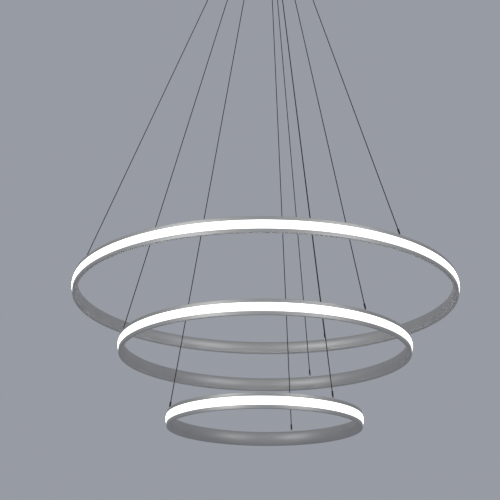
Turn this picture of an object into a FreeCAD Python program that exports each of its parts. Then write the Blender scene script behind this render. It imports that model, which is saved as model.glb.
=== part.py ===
"""LED ring chandelier: three level rings on nine steel cables, hung from a round canopy.

Millimetres and degrees. The origin is the middle of the mounting plate's top face, which
lies on the ceiling; +Z is up. Places round the Z axis are azimuths, counted from -Y
towards +X. Each ring's section is drawn as depths inward from the lip face of its channel
and as heights above its mid-plane.
"""
import FreeCAD, Part
import math
import os

import Sketcher
from FreeCAD import Vector

SIZES = {
    # rings: outer size over the diffuser's crown, and ceiling to the ring's mid-plane
    "upper_diameter": 800, "upper_drop": 925,
    "middle_diameter": 600, "middle_drop": 1041,
    "lower_diameter": 394, "lower_drop": 1186,
    # azimuth of each ring's first cable and the radius at which its cables leave the canopy
    "upper_azimuth": 38, "upper_grip_radius": 93,
    "middle_azimuth": 39, "middle_grip_radius": 62.5,
    "lower_azimuth": 42, "lower_grip_radius": 36.5,
    # channel section
    "section_height": 30, "section_depth": 11, "corner_radius": 7, "crown_radius": 30,
    "channel_wall": 2.5, "lip_thickness": 1.8, "mouth_height": 16.5,
    "shelf_depth": 6, "land_depth": 8, "land_height": 12,
    # diffuser section
    "diffuser_proud": 2, "diffuser_edge_proud": 0.5, "diffuser_wall": 1.6,
    "diffuser_gap": 0.15, "hook_height": 1, "hook_thickness": 1.2,
    # LED strip
    "strip_width": 10, "strip_thickness": 1, "glue_gap": 0.05,
    # terminals and crimped cable ends
    "terminal_depth": 3.7, "terminal_sink": 1.2, "terminal_head_diameter": 5.6,
    "terminal_head_height": 3, "terminal_chamfer": 0.9, "terminal_shank_diameter": 3.6,
    "terminal_shank_length": 3, "terminal_bore": 2.4, "terminal_flare": 0.4,
    "terminal_flare_depth": 1.2, "thread_gap": 0.05,
    "cable_diameter": 2, "cable_gap": 0.3,
    "stub_length": 3.5, "ferrule_length": 10, "ferrule_diameter": 3.6,
    "lead_diameter": 0.8, "lead_reach": 3.5,
    # canopy cover
    "canopy_diameter": 280, "canopy_height": 50, "canopy_wall": 1.5, "canopy_corner": 6,
    "canopy_rim_gap": 0.5, "grip_hole": 10.4, "side_screw_drop": 8,
    "side_screw_hole": 4.4,
    # mounting plate
    "plate_thickness": 2, "plate_gap": 0.4, "plate_rim": 14,
    "fixing_circle": 230, "fixing_hole": 5.5, "entry_hole": 16,
    # side screws
    "knob_diameter": 9, "knob_length": 5, "knob_chamfer": 1, "side_screw_diameter": 4,
    "side_screw_length": 9, "side_screw_gap": 0.05,
    # cable grips
    "thread_diameter": 10, "thread_length": 12, "flange_diameter": 15, "flange_height": 2.5,
    "barrel_diameter": 12, "barrel_lip": 2, "chamber_diameter": 9,
    "cable_bore": 2.8, "nut_diameter": 15, "nut_height": 3.5,
    "plunger_diameter": 7, "plunger_gap": 0.15, "plunger_reach": 4.5,
    "collar_diameter": 8.4, "collar_height": 2, "plunger_stroke": 2.5,
    "mouth_depth": 3, "mouth_diameter": 6.4, "spring_solid": 6.35, "spring_wall": 0.6,
    "spring_gap": 0.05,
    # cable tails above the grips
    "tail_rise": 8,
    # driver
    "driver_length": 116, "driver_width": 38, "driver_height": 24, "driver_corner": 3,
    "driver_ear": 9, "ear_thickness": 2, "driver_azimuth": 100, "driver_inset": 58,
    "small_screw_diameter": 3, "small_head_diameter": 6, "small_head_height": 2,
    "small_screw_hole": 3.4,
    # terminal blocks: the mains block, and the output block between driver and cables
    "block_length": 36, "block_width": 20, "block_height": 14, "block_corner": 2,
    "block_azimuth": 220, "block_inset": 68, "block_pitch": 12, "block_port": 4,
    "block_screw_side": 6, "output_azimuth": 340, "output_inset": 70,
    # earth screw
    "earth_azimuth": 250, "earth_inset": 48, "earth_head_diameter": 9, "earth_head_height": 3,
    "earth_screw_diameter": 4,
    # leads inside the canopy
    "mains_lead_diameter": 2.6, "mains_lead_side": 6, "lead_gap": 0.2,
    "mains_lead_start": 14, "live_lead_end": 32, "neutral_lead_end": 20,
    "output_lead_diameter": 1.8, "output_lead_side": 4, "output_lead_start": 10,
    "output_lead_end": 12,
    # how far in from the canopy's rim the leads bend on their way
    "live_bend_1": 92, "live_bend_2": 36.2, "neutral_bend_1": 105.6, "neutral_bend_2": 44.5,
    "outer_bend_1": 28, "outer_bend_2": 18, "outer_bend_3": 18, "outer_bend_4": 25,
    "inner_bend_1": 34, "inner_bend_2": 25, "inner_bend_3": 25, "inner_bend_4": 28,
    # grommet
    "grommet_flange": 20, "grommet_flange_height": 1.5, "grommet_bore": 8,
    "grommet_gap": 0.05,
}

TIERS = ("upper", "middle", "lower")
CABLES_PER_RING = 3
FED_CABLES = (0, 2)
SIDEWAYS = 90
HALF_WAY = math.sin(math.radians(45))
BEND_SHARE = 0.45
THIRD = 360 / CABLES_PER_RING

document = FreeCAD.newDocument("chandelier")
sheet = document.addObject("Spreadsheet::Sheet", "Sizes")
nodes = []


def fill_sheet():
    """One row for each size: its name, and its value under an alias of that name."""
    for row, (name, value) in enumerate(SIZES.items(), start=1):
        sheet.set("A%d" % row, name)
        sheet.set("B%d" % row, str(value))
        sheet.setAlias("B%d" % row, name)
    document.recompute()


def size(expression):
    """The present value of an expression in the sheet's names."""
    value = sheet.evalExpression(expression)
    return float(getattr(value, "Value", value))


def bound(expression):
    """The expression as other objects of the document write it."""
    for name in sorted(SIZES, key=len, reverse=True):
        expression = expression.replace(name, "<%d>" % list(SIZES).index(name))
    for index, name in enumerate(SIZES):
        expression = expression.replace("<%d>" % index, "Sizes." + name)
    return expression


# ---------------------------------------------------------------- building helpers

def node(part, label):
    """Gives a finished piece the name that its file takes."""
    part.Label = label
    nodes.append(part)
    return part


def origin_plane(body, role):
    return next(plane for plane in body.Origin.OriginFeatures if plane.Role == role)


def new_sketch(body, role, lift=None):
    """A sketch on one of the body's own origin planes, lifted off it along Z where asked."""
    sketch = body.newObject("Sketcher::SketchObject", "Section")
    sketch.AttachmentSupport = [(origin_plane(body, role), "")]
    sketch.MapMode = "FlatFace"
    if lift:
        sketch.setExpression("AttachmentOffset.Base.z", bound(lift))
    return sketch


def pin_point(sketch, geometry, end, place):
    """Ties a point of the sketch to the sheet, or to an axis where its coordinate is 0."""
    for direction, axis, expression in (("DistanceX", -2, place[0]), ("DistanceY", -1, place[1])):
        if expression == "0":
            sketch.addConstraint(Sketcher.Constraint("PointOnObject", geometry, end, axis))
            continue
        row = sketch.addConstraint(
            Sketcher.Constraint(direction, -1, 1, geometry, end, size(expression)))
        sketch.setExpression("Constraints[%d]" % row, bound(expression))


def draw_outline(sketch, corners):
    """A closed outline. A corner is (x, y), or (x, y, radius, via) where the stretch to the
    next corner is an arc of that radius that passes near the point via."""
    points = [Vector(size(corner[0]), size(corner[1]), 0) for corner in corners]
    for index, corner in enumerate(corners):
        start, end = points[index], points[(index + 1) % len(points)]
        if len(corner) == 2:
            sketch.addGeometry(Part.LineSegment(start, end))
        else:
            via = Vector(size(corner[3][0]), size(corner[3][1]), 0)
            sketch.addGeometry(upright_arc(start, via, end))
    for index, corner in enumerate(corners):
        before = index - 1 if index else len(corners) - 1
        first, last = 1, 2
        if len(corner) == 4:
            first = matching_end(sketch, index, points[index])
        if len(corners[before]) == 4:
            last = matching_end(sketch, before, points[index])
        sketch.addConstraint(Sketcher.Constraint("Coincident", before, last, index, first))
        pin_point(sketch, index, first, corner)
        if len(corner) == 4:
            row = sketch.addConstraint(
                Sketcher.Constraint("Radius", index, size(corner[2])))
            sketch.setExpression("Constraints[%d]" % row, bound(corner[2]))


def upright_arc(start, via, end):
    """The arc through three points of a sketch, counter-clockwise about +Z."""
    edge = Part.Arc(start, via, end).toShape()
    centre, turn = edge.Curve.Center, 2 * math.pi
    first, half, last = (math.atan2(point.y - centre.y, point.x - centre.x)
                         for point in (start, via, end))
    if (half - first) % turn > (last - first) % turn:
        first, last = last, first
    circle = Part.Circle(centre, Vector(0, 0, 1), edge.Curve.Radius)
    return Part.ArcOfCircle(circle, first, first + (last - first) % turn)


def matching_end(sketch, geometry, point):
    """Which end of an arc lies at the point: 1 for its start, 2 for its end."""
    curve = sketch.Geometry[geometry]
    to_start = curve.StartPoint.distanceToPoint(point)
    return 1 if to_start < curve.EndPoint.distanceToPoint(point) else 2


def turned(name, corners, height=None):
    """A body of revolution about Z. The corners are (radius, height) expressions."""
    body = document.addObject("PartDesign::Body", name)
    sketch = new_sketch(body, "XZ_Plane")
    draw_outline(sketch, corners)
    revolution = body.newObject("PartDesign::Revolution", "Revolution")
    revolution.Profile = sketch
    revolution.ReferenceAxis = (sketch, ["V_Axis"])
    revolution.Angle = 360
    sketch.Visibility = False
    if height:
        body.setExpression("Placement.Base.z", bound(height))
    return body


def circles(sketch, places, diameter):
    """Circles of one diameter at (radius, azimuth) places round the origin."""
    for radius, azimuth in places:
        centre = ("(%s) * sin(%s)" % (radius, azimuth), "-(%s) * cos(%s)" % (radius, azimuth))
        at = Vector(size(centre[0]), size(centre[1]), 0)
        index = sketch.addGeometry(Part.Circle(at, Vector(0, 0, 1), size(diameter) / 2))
        pin_point(sketch, index, 3, centre)
        row = sketch.addConstraint(Sketcher.Constraint("Diameter", index, size(diameter)))
        sketch.setExpression("Constraints[%d]" % row, bound(diameter))


def bore(body, places, diameter, lift=None, upward=True, copies=1):
    """Round holes through what lies above (or below) the sketch, repeated round Z."""
    sketch = new_sketch(body, "XY_Plane", lift)
    circles(sketch, places, diameter)
    pocket = body.newObject("PartDesign::Pocket", "Holes")
    pocket.Profile = sketch
    pocket.Type = "ThroughAll"
    pocket.Reversed = upward
    sketch.Visibility = False
    if copies > 1:
        repeat_round(body, pocket, copies)


def repeat_round(body, feature, copies):
    """Repeats a feature evenly round the body's Z axis."""
    document.recompute()
    pattern = body.newObject("PartDesign::PolarPattern", "Round")
    pattern.Originals = [feature]
    axis = next(line for line in body.Origin.OriginFeatures if line.Role == "Z_Axis")
    pattern.Axis = (axis, [""])
    pattern.Angle = 360
    pattern.Occurrences = copies
    body.Tip = pattern


def plain(shape, label):
    """A piece whose shape comes straight from the sheet's values."""
    part = document.addObject("Part::Feature", label)
    part.Shape = shape
    return node(part, label)


def copies_at(source, places):
    """Copies of a body's solid at the placements, as one compound."""
    document.recompute()
    shapes = []
    for place in places:
        shape = source.Shape.copy()
        shape.Placement = place.multiply(source.Placement)
        shapes.append(shape)
    return Part.makeCompound(shapes)


def polar(radius, azimuth, height):
    """The point at a radius and an azimuth, at a height."""
    angle = math.radians(azimuth)
    return Vector(radius * math.sin(angle), -radius * math.cos(angle), height)


def facing(azimuth, point):
    """A placement at the point whose -Y looks out along the azimuth."""
    return FreeCAD.Placement(point, FreeCAD.Rotation(Vector(0, 0, 1), azimuth))


def rod(start, end, diameter):
    """A straight round rod between two points."""
    along = end - start
    return Part.makeCylinder(diameter / 2, along.Length, start, along)


def slanted_rod(bottom, top, diameter):
    """A straight round rod whose two ends are level."""
    disc = Part.Face(Part.Wire(Part.makeCircle(diameter / 2, bottom)))
    return disc.extrude(top - bottom)


def bent_rod(points, diameter):
    """A round rod along straight runs joined by tangent arcs."""
    edges = []
    here = points[0]
    for before, corner, after in zip(points, points[1:], points[2:]):
        inward, outward = corner - before, after - corner
        turn = inward.getAngle(outward)
        reach = BEND_SHARE * min(inward.Length, outward.Length)
        inward.normalize()
        outward.normalize()
        first, last = corner - inward * reach, corner + outward * reach
        towards = outward - inward
        towards.normalize()
        radius = reach / math.tan(turn / 2)
        middle = corner + towards * (radius / math.cos(turn / 2) - radius)
        edges.append(Part.LineSegment(here, first).toShape())
        edges.append(Part.Arc(first, middle, last).toShape())
        here = last
    edges.append(Part.LineSegment(here, points[-1]).toShape())
    path = Part.Wire(edges)
    start = Part.Wire(Part.makeCircle(diameter / 2, points[0], points[1] - points[0]))
    return path.makePipeShell([start], True, False)


# ---------------------------------------------------------------- rings

# the terminals' seat over a ring's mid-plane, sunk into its top face
SEAT = "(section_height / 2 - terminal_sink)"


def lip_radius(tier):
    """The radius of the channel's lip face, as an expression."""
    return "(%s_diameter / 2 - diffuser_proud)" % tier


def section(tier, points):
    """Section points given as depths and heights, turned into radii and heights."""
    corners = []
    for point in points:
        corner = ["%s - (%s)" % (lip_radius(tier), point[0]), point[1]]
        if len(point) == 4:
            via = point[3]
            corner += [point[2], ("%s - (%s)" % (lip_radius(tier), via[0]), via[1])]
        corners.append(tuple(corner))
    return corners


# where the section's flat top ends, and where its corner arc meets the crown arc
FLAT_END = ("(sqrt((crown_radius - corner_radius)^2 - (section_height / 2 - corner_radius)^2)"
            " - crown_radius + section_depth)")
ARC_SHARE = "crown_radius / (crown_radius - corner_radius)"
MEET_DEPTH = "((%s + crown_radius - section_depth) * %s + section_depth - crown_radius)" % (
    FLAT_END, ARC_SHARE)
MEET_HEIGHT = "((section_height / 2 - corner_radius) * %s)" % ARC_SHARE


def channel(tier):
    """The aluminium channel: a D-shaped section with lips, open outward."""
    shoulder = ("%s + corner_radius * %.6f" % (FLAT_END, HALF_WAY),
                "section_height / 2 - corner_radius * %.6f" % (1 - HALF_WAY))
    under_shoulder = (shoulder[0], "-(%s)" % shoulder[1])
    half_mouth, half_room = "mouth_height / 2", "(section_height / 2 - channel_wall)"
    points = [
        ("0", half_mouth), ("0", "section_height / 2"),
        (FLAT_END, "section_height / 2", "corner_radius", shoulder),
        (MEET_DEPTH, MEET_HEIGHT, "crown_radius", ("section_depth", "0")),
        (MEET_DEPTH, "-" + MEET_HEIGHT, "corner_radius", under_shoulder),
        (FLAT_END, "-section_height / 2"), ("0", "-section_height / 2"),
        ("0", "-" + half_mouth), ("lip_thickness", "-" + half_mouth),
        ("lip_thickness", "-" + half_room), ("shelf_depth", "-" + half_room),
        ("land_depth", "-land_height / 2"), ("land_depth", "land_height / 2"),
        ("shelf_depth", half_room), ("lip_thickness", half_room),
        ("lip_thickness", half_mouth)]
    body = turned(tier + "_channel_body", section(tier, points), "-%s_drop" % tier)
    place = [(lip_radius(tier) + " - terminal_depth", tier + "_azimuth")]
    bore(body, place, "terminal_shank_diameter + 2 * thread_gap", copies=CABLES_PER_RING)
    bore(body, place, "terminal_head_diameter + 4 * thread_gap", lift=SEAT,
         copies=CABLES_PER_RING)
    return node(body, tier + "_channel")


def diffuser(tier):
    """The opal diffuser: a crowned face in the channel's mouth, hooked behind both lips."""
    half = "(mouth_height / 2 - diffuser_gap)"
    inner_half = "(%s - diffuser_wall)" % half
    hook_start = "(lip_thickness + diffuser_gap)"
    hook_end = "(%s + hook_thickness)" % hook_start
    crown = "((diffuser_proud - diffuser_edge_proud) / 2 + %s^2" \
            " / (2 * (diffuser_proud - diffuser_edge_proud)))" % half
    points = [
        ("-diffuser_edge_proud", half, crown, ("-diffuser_proud", "0")),
        ("-diffuser_edge_proud", "-" + half), (hook_start, "-" + half),
        (hook_start, "-(%s + hook_height)" % half), (hook_end, "-(%s + hook_height)" % half),
        (hook_end, "-" + inner_half),
        ("diffuser_wall - diffuser_edge_proud", "-" + inner_half),
        ("diffuser_wall - diffuser_edge_proud", inner_half), (hook_end, inner_half),
        (hook_end, "%s + hook_height" % half), (hook_start, "%s + hook_height" % half),
        (hook_start, half)]
    return node(turned(tier + "_diffuser_body", section(tier, points), "-%s_drop" % tier),
                tier + "_diffuser")


def led_strip(tier):
    """The flexible LED board on the channel's land."""
    back, front = "(land_depth - glue_gap)", "(land_depth - glue_gap - strip_thickness)"
    points = [(front, "strip_width / 2"), (back, "strip_width / 2"),
              (back, "-strip_width / 2"), (front, "-strip_width / 2")]
    return node(turned(tier + "_strip_body", section(tier, points), "-%s_drop" % tier),
                tier + "_led_strip")


def terminal_body():
    """A turned terminal with its seat face at height 0 and its bore on Z."""
    hole, shank = "terminal_bore / 2", "terminal_shank_diameter / 2"
    head = "terminal_head_diameter / 2"
    return turned("terminal_body", [
        (hole, "-terminal_shank_length"), (shank, "-terminal_shank_length"), (shank, "0"),
        (head, "0"), (head, "terminal_head_height - terminal_chamfer"),
        (head + " - terminal_chamfer", "terminal_head_height"),
        (hole + " + terminal_flare", "terminal_head_height"),
        (hole, "terminal_head_height - terminal_flare_depth")])


def cable_line(tier, index):
    """The lug point, where a cable starts to slant, and its upper end in the grip's mouth."""
    azimuth = size(tier + "_azimuth") + index * THIRD
    lug = polar(size(lip_radius(tier) + " - terminal_depth"), azimuth,
                size("%s + terminal_head_height - %s_drop" % (SEAT, tier)))
    top = polar(size(tier + "_grip_radius"), azimuth, size(THROAT))
    return lug, top


def terminals(tier, source):
    """Three terminals screwed into the channel's top wall."""
    places = []
    for index in range(CABLES_PER_RING):
        azimuth = size(tier + "_azimuth") + index * THIRD
        point = polar(size(lip_radius(tier) + " - terminal_depth"), azimuth,
                      size("%s - %s_drop" % (SEAT, tier)))
        places.append(FreeCAD.Placement(point, FreeCAD.Rotation()))
    return plain(copies_at(source, places), tier + "_terminals")


def cable_ends(tier):
    """The crimped ends: a stub of cable out of each terminal and the ferrule on it."""
    ends = []
    for index in range(CABLES_PER_RING):
        lug, top = cable_line(tier, index)
        slope = (top - lug).normalize()
        root = lug - Vector(0, 0, size("terminal_head_height + terminal_shank_length"))
        neck = lug + slope * size("stub_length")
        stub = bent_rod([root, lug, neck + slope * size("ferrule_length / 2")],
                        size("cable_diameter"))
        ferrule = rod(neck, neck + slope * size("ferrule_length"), size("ferrule_diameter"))
        ends.append(stub.fuse(ferrule).removeSplitter())
    return plain(Part.makeCompound(ends), tier + "_cable_ends")


def feed_leads(tier):
    """Leads from the two fed terminals to the LED strip's upper edge."""
    leads = []
    for index in FED_CABLES:
        azimuth = size(tier + "_azimuth") + index * THIRD
        under = size("%s - terminal_shank_length - lead_gap - %s_drop" % (SEAT, tier))
        start = polar(size(lip_radius(tier) + " - terminal_depth"), azimuth, under)
        board = size("%s - land_depth + glue_gap + strip_thickness + lead_diameter / 2 + lead_gap"
                     % lip_radius(tier))
        pad = polar(board, azimuth, under - size("lead_reach"))
        end = pad - Vector(0, 0, size("lead_reach"))
        leads.append(bent_rod([start, pad, end], size("lead_diameter")))
    return plain(Part.makeCompound(leads), tier + "_feed_leads")


def cables(tier):
    """The three cables of a ring, each its own piece with level ends."""
    for index in range(CABLES_PER_RING):
        lug, top = cable_line(tier, index)
        slope = (top - lug).normalize()
        bottom = lug + slope * size("stub_length + ferrule_length + cable_gap")
        plain(slanted_rod(bottom, top, size("cable_diameter")),
              "%s_cable_%d" % (tier, index + 1))


# ---------------------------------------------------------------- cable grips

FLANGE_TOP = "-canopy_height"
BARREL_LENGTH = "(barrel_lip + plunger_gap + collar_height + plunger_stroke + spring_solid)"
BARREL_END = "(-canopy_height - flange_height - %s)" % BARREL_LENGTH
TIP = "(%s - plunger_reach)" % BARREL_END
THROAT = "(%s + mouth_depth)" % TIP
COLLAR_BASE = "(%s + barrel_lip)" % BARREL_END
CHAMBER_TOP = "(-canopy_height - flange_height)"
THREAD_TOP = "(-canopy_height + canopy_wall + thread_length)"


def grip_places(tier):
    """The three placements of a tier's grips, on the canopy's axis height."""
    places = []
    for index in range(CABLES_PER_RING):
        azimuth = size(tier + "_azimuth") + index * THIRD
        places.append(FreeCAD.Placement(polar(size(tier + "_grip_radius"), azimuth, 0),
                                        FreeCAD.Rotation()))
    return places


def all_grip_places():
    return [place for tier in TIERS for place in grip_places(tier)]


def barrel_body():
    """A grip's barrel: thread through the cover, flange under it, chamber for the plunger."""
    cable_hole, thread = "cable_bore / 2", "thread_diameter / 2"
    flange, barrel = "flange_diameter / 2", "barrel_diameter / 2"
    chamber = "chamber_diameter / 2"
    mouth = "(plunger_diameter / 2 + plunger_gap)"
    return turned("barrel_body", [
        (cable_hole, CHAMBER_TOP), (cable_hole, THREAD_TOP), (thread, THREAD_TOP),
        (thread, FLANGE_TOP), (flange, FLANGE_TOP), (flange, CHAMBER_TOP),
        (barrel, CHAMBER_TOP), (barrel, BARREL_END), (mouth, BARREL_END),
        (mouth, COLLAR_BASE), (chamber, COLLAR_BASE), (chamber, CHAMBER_TOP)])


def nut_body():
    """The lock nut on a grip's thread, seated on the cover."""
    base, hole = "(-canopy_height + canopy_wall)", "(thread_diameter / 2 + thread_gap)"
    body = document.addObject("Part::Cut", "nut_body")
    block = document.addObject("Part::Prism", "nut_block")
    block.Polygon = 6
    block.setExpression("Circumradius", bound("nut_diameter / 2"))
    block.setExpression("Height", bound("nut_height"))
    block.setExpression("Placement.Base.z", bound(base))
    drill = document.addObject("Part::Cylinder", "nut_drill")
    drill.setExpression("Radius", bound(hole))
    drill.setExpression("Height", bound("nut_height"))
    drill.setExpression("Placement.Base.z", bound(base))
    body.Base, body.Tool = block, drill
    return body


def plunger_body(name):
    """A grip's plunger: a nose with a flared mouth and a collar kept in by the barrel's lip."""
    hole, nose = "cable_bore / 2", "plunger_diameter / 2"
    collar = "collar_diameter / 2"
    return turned(name, [
        (hole, THROAT), ("mouth_diameter / 2", TIP), (nose, TIP),
        (nose, COLLAR_BASE + " + plunger_gap"), (collar, COLLAR_BASE + " + plunger_gap"),
        (collar, COLLAR_BASE + " + plunger_gap + collar_height"),
        (hole, COLLAR_BASE + " + plunger_gap + collar_height")])


def spring_body(name):
    """The room that a grip's spring takes: a tube from the collar to the chamber's top."""
    outer = "(chamber_diameter / 2 - plunger_gap)"
    inner = "(%s - spring_wall)" % outer
    low = COLLAR_BASE + " + plunger_gap + collar_height + spring_gap"
    high = CHAMBER_TOP + " - spring_gap"
    return turned(name, [(inner, low), (outer, low), (outer, high), (inner, high)])


def grips(tier):
    """A tier's plungers and springs, each its own piece at its own place."""
    for index in range(CABLES_PER_RING):
        for make, word in ((plunger_body, "plunger"), (spring_body, "spring")):
            label = "%s_grip_%s_%d" % (tier, word, index + 1)
            body = make(label + "_body")
            azimuth = "(%s_azimuth + %d)" % (tier, index * THIRD)
            body.setExpression("Placement.Base.x",
                               bound("%s_grip_radius * sin%s" % (tier, azimuth)))
            body.setExpression("Placement.Base.y",
                               bound("-%s_grip_radius * cos%s" % (tier, azimuth)))
            node(body, label)


def cable_tails():
    """The cables' ends above the grips, from the plungers' throats into the canopy."""
    tails = []
    for place in all_grip_places():
        foot = place.Base + Vector(0, 0, size(THROAT))
        head = place.Base + Vector(0, 0, size(THREAD_TOP + " + tail_rise"))
        tails.append(slanted_rod(foot, head, size("cable_diameter")))
    return plain(Part.makeCompound(tails), "cable_tails")


# ---------------------------------------------------------------- canopy

def inset(name):
    """The radius of a fitting that keeps its distance from the canopy's rim."""
    return "(canopy_diameter / 2 - %s_inset)" % name


def side_holes(body, diameter, start):
    """Three radial holes for the side screws, from the given radius outward."""
    sketch = body.newObject("Sketcher::SketchObject", "SideHole")
    sketch.AttachmentSupport = [(origin_plane(body, "XZ_Plane"), "")]
    sketch.MapMode = "FlatFace"
    sketch.setExpression("AttachmentOffset.Base.z", bound(start))
    index = sketch.addGeometry(Part.Circle(Vector(0, size("-side_screw_drop"), 0),
                                           Vector(0, 0, 1), size(diameter) / 2))
    pin_point(sketch, index, 3, ("0", "-side_screw_drop"))
    row = sketch.addConstraint(Sketcher.Constraint("Diameter", index, size(diameter)))
    sketch.setExpression("Constraints[%d]" % row, bound(diameter))
    pocket = body.newObject("PartDesign::Pocket", "SideHoles")
    pocket.Profile = sketch
    pocket.Type = "ThroughAll"
    pocket.Reversed = True
    sketch.Visibility = False
    repeat_round(body, pocket, CABLES_PER_RING)


def canopy_cover():
    """The pressed cover: a shallow pan whose floor carries the nine grips."""
    outer, inner = "canopy_diameter / 2", "(canopy_diameter / 2 - canopy_wall)"
    floor, roof = "-canopy_height", "(canopy_wall - canopy_height)"
    bend, inner_bend = "canopy_corner", "(canopy_corner - canopy_wall)"
    start = "(canopy_diameter / 2 - canopy_corner)"
    outer_via = ("%s + %s * %.6f" % (start, bend, HALF_WAY),
                 "%s + %s * %.6f" % (floor, bend, 1 - HALF_WAY))
    inner_via = ("%s + %s * %.6f" % (start, inner_bend, HALF_WAY),
                 "%s + %s * %.6f" % (roof, inner_bend, 1 - HALF_WAY))
    body = turned("cover_body", [
        ("0", floor), (start, floor, bend, outer_via), (outer, floor + " + canopy_corner"),
        (outer, "-canopy_rim_gap"), (inner, "-canopy_rim_gap"),
        (inner, floor + " + canopy_corner", inner_bend, inner_via), (start, roof), ("0", roof)])
    places = [(tier + "_grip_radius", tier + "_azimuth") for tier in TIERS]
    bore(body, places, "grip_hole", upward=False, copies=CABLES_PER_RING)
    side_holes(body, "side_screw_hole", "canopy_diameter / 4")
    return node(body, "canopy_cover")


def mounting_plate():
    """The plate on the ceiling: a disc with a rim that the side screws hold."""
    outer = "(canopy_diameter / 2 - canopy_wall - plate_gap)"
    body = turned("plate_body", [
        ("entry_hole / 2", "0"), (outer, "0"), (outer, "-plate_rim"),
        (outer + " - plate_thickness", "-plate_rim"),
        (outer + " - plate_thickness", "-plate_thickness"),
        ("entry_hole / 2", "-plate_thickness")])
    bore(body, [("fixing_circle / 2", "(upper_azimuth + middle_azimuth) / 2")], "fixing_hole",
         upward=False, copies=CABLES_PER_RING)
    bore(body, [(inset("earth"), "earth_azimuth")], "earth_screw_diameter + 2 * thread_gap",
         upward=False)
    side_holes(body, "side_screw_diameter + 2 * side_screw_gap", "canopy_diameter / 4")
    return node(body, "mounting_plate")


def grommet():
    """The rubber grommet in the plate's cable entry, flanged below."""
    hole, waist = "grommet_bore / 2", "(entry_hole / 2 - grommet_gap)"
    low = "(-plate_thickness - grommet_flange_height)"
    return node(turned("grommet_body", [
        (hole, low), ("grommet_flange / 2", low), ("grommet_flange / 2", "-plate_thickness"),
        (waist, "-plate_thickness"), (waist, "0"), (hole, "0")]), "cable_grommet")


def side_screw_body():
    """A side screw with a round knob, its axis on Z and its seat face at height 0."""
    shank, knob = "side_screw_diameter / 2", "knob_diameter / 2"
    return turned("side_screw_body", [
        ("0", "-side_screw_length"), (shank, "-side_screw_length"), (shank, "0"), (knob, "0"),
        (knob, "knob_length - knob_chamfer"), (knob + " - knob_chamfer", "knob_length"),
        ("0", "knob_length")])


def cover_screws():
    """Three side screws through the cover's wall into the plate's rim."""
    places = []
    for index in range(CABLES_PER_RING):
        point = polar(size("canopy_diameter / 2"), index * THIRD, size("-side_screw_drop"))
        turn = FreeCAD.Rotation(Vector(0, 0, 1), polar(1, index * THIRD, 0))
        places.append(FreeCAD.Placement(point, turn))
    return plain(copies_at(side_screw_body(), places), "cover_screws")


def padded_block(name, length, width, height, corner):
    """A block centred on Z that hangs down from the plate, with rounded upright edges."""
    body = document.addObject("PartDesign::Body", name)
    sketch = new_sketch(body, "XY_Plane", "-plate_thickness")
    half_x, half_y = "(%s / 2)" % length, "(%s / 2)" % width
    draw_outline(sketch, [("-" + half_x, "-" + half_y), (half_x, "-" + half_y),
                          (half_x, half_y), ("-" + half_x, half_y)])
    pad = body.newObject("PartDesign::Pad", "Block")
    pad.Profile = sketch
    pad.setExpression("Length", bound(height))
    pad.Reversed = True
    sketch.Visibility = False
    document.recompute()
    upright = ["Edge%d" % (number + 1) for number, edge in enumerate(pad.Shape.Edges)
               if abs(edge.tangentAt(edge.FirstParameter).z) > 0.99]
    rounding = body.newObject("PartDesign::Fillet", "Rounding")
    rounding.Base = (pad, upright)
    rounding.setExpression("Radius", bound(corner))
    return body


def set_by_azimuth(body, name, turn=0):
    """Places a fitting at its inset and azimuth, its -Y looking outward or turned from that."""
    radius, azimuth = inset(name), name + "_azimuth"
    body.setExpression("Placement.Base.x", bound("%s * sin(%s)" % (radius, azimuth)))
    body.setExpression("Placement.Base.y", bound("-%s * cos(%s)" % (radius, azimuth)))
    body.setExpression("Placement.Rotation.Angle", bound("(%s + %d) * 1 deg" % (azimuth, turn)))


def driver():
    """The sealed LED driver with a screw ear at each end."""
    body = padded_block("driver_body", "driver_length", "driver_width", "driver_height",
                        "driver_corner")
    ears = new_sketch(body, "XY_Plane", "-plate_thickness")
    half_x = "(driver_length / 2 + driver_ear)"
    half_y = "(driver_width / 4)"
    draw_outline(ears, [("-" + half_x, "-" + half_y), (half_x, "-" + half_y),
                        (half_x, half_y), ("-" + half_x, half_y)])
    flap = body.newObject("PartDesign::Pad", "Ears")
    flap.Profile = ears
    flap.setExpression("Length", bound("ear_thickness"))
    flap.Reversed = True
    ears.Visibility = False
    holes = new_sketch(body, "XY_Plane", "-plate_thickness")
    circles(holes, [("driver_length / 2 + driver_ear / 2", side) for side in ("90", "270")],
            "small_screw_hole")
    pocket = body.newObject("PartDesign::Pocket", "EarHoles")
    pocket.Profile = holes
    pocket.Type = "ThroughAll"
    holes.Visibility = False
    set_by_azimuth(body, "driver")
    return node(body, "led_driver")


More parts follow.
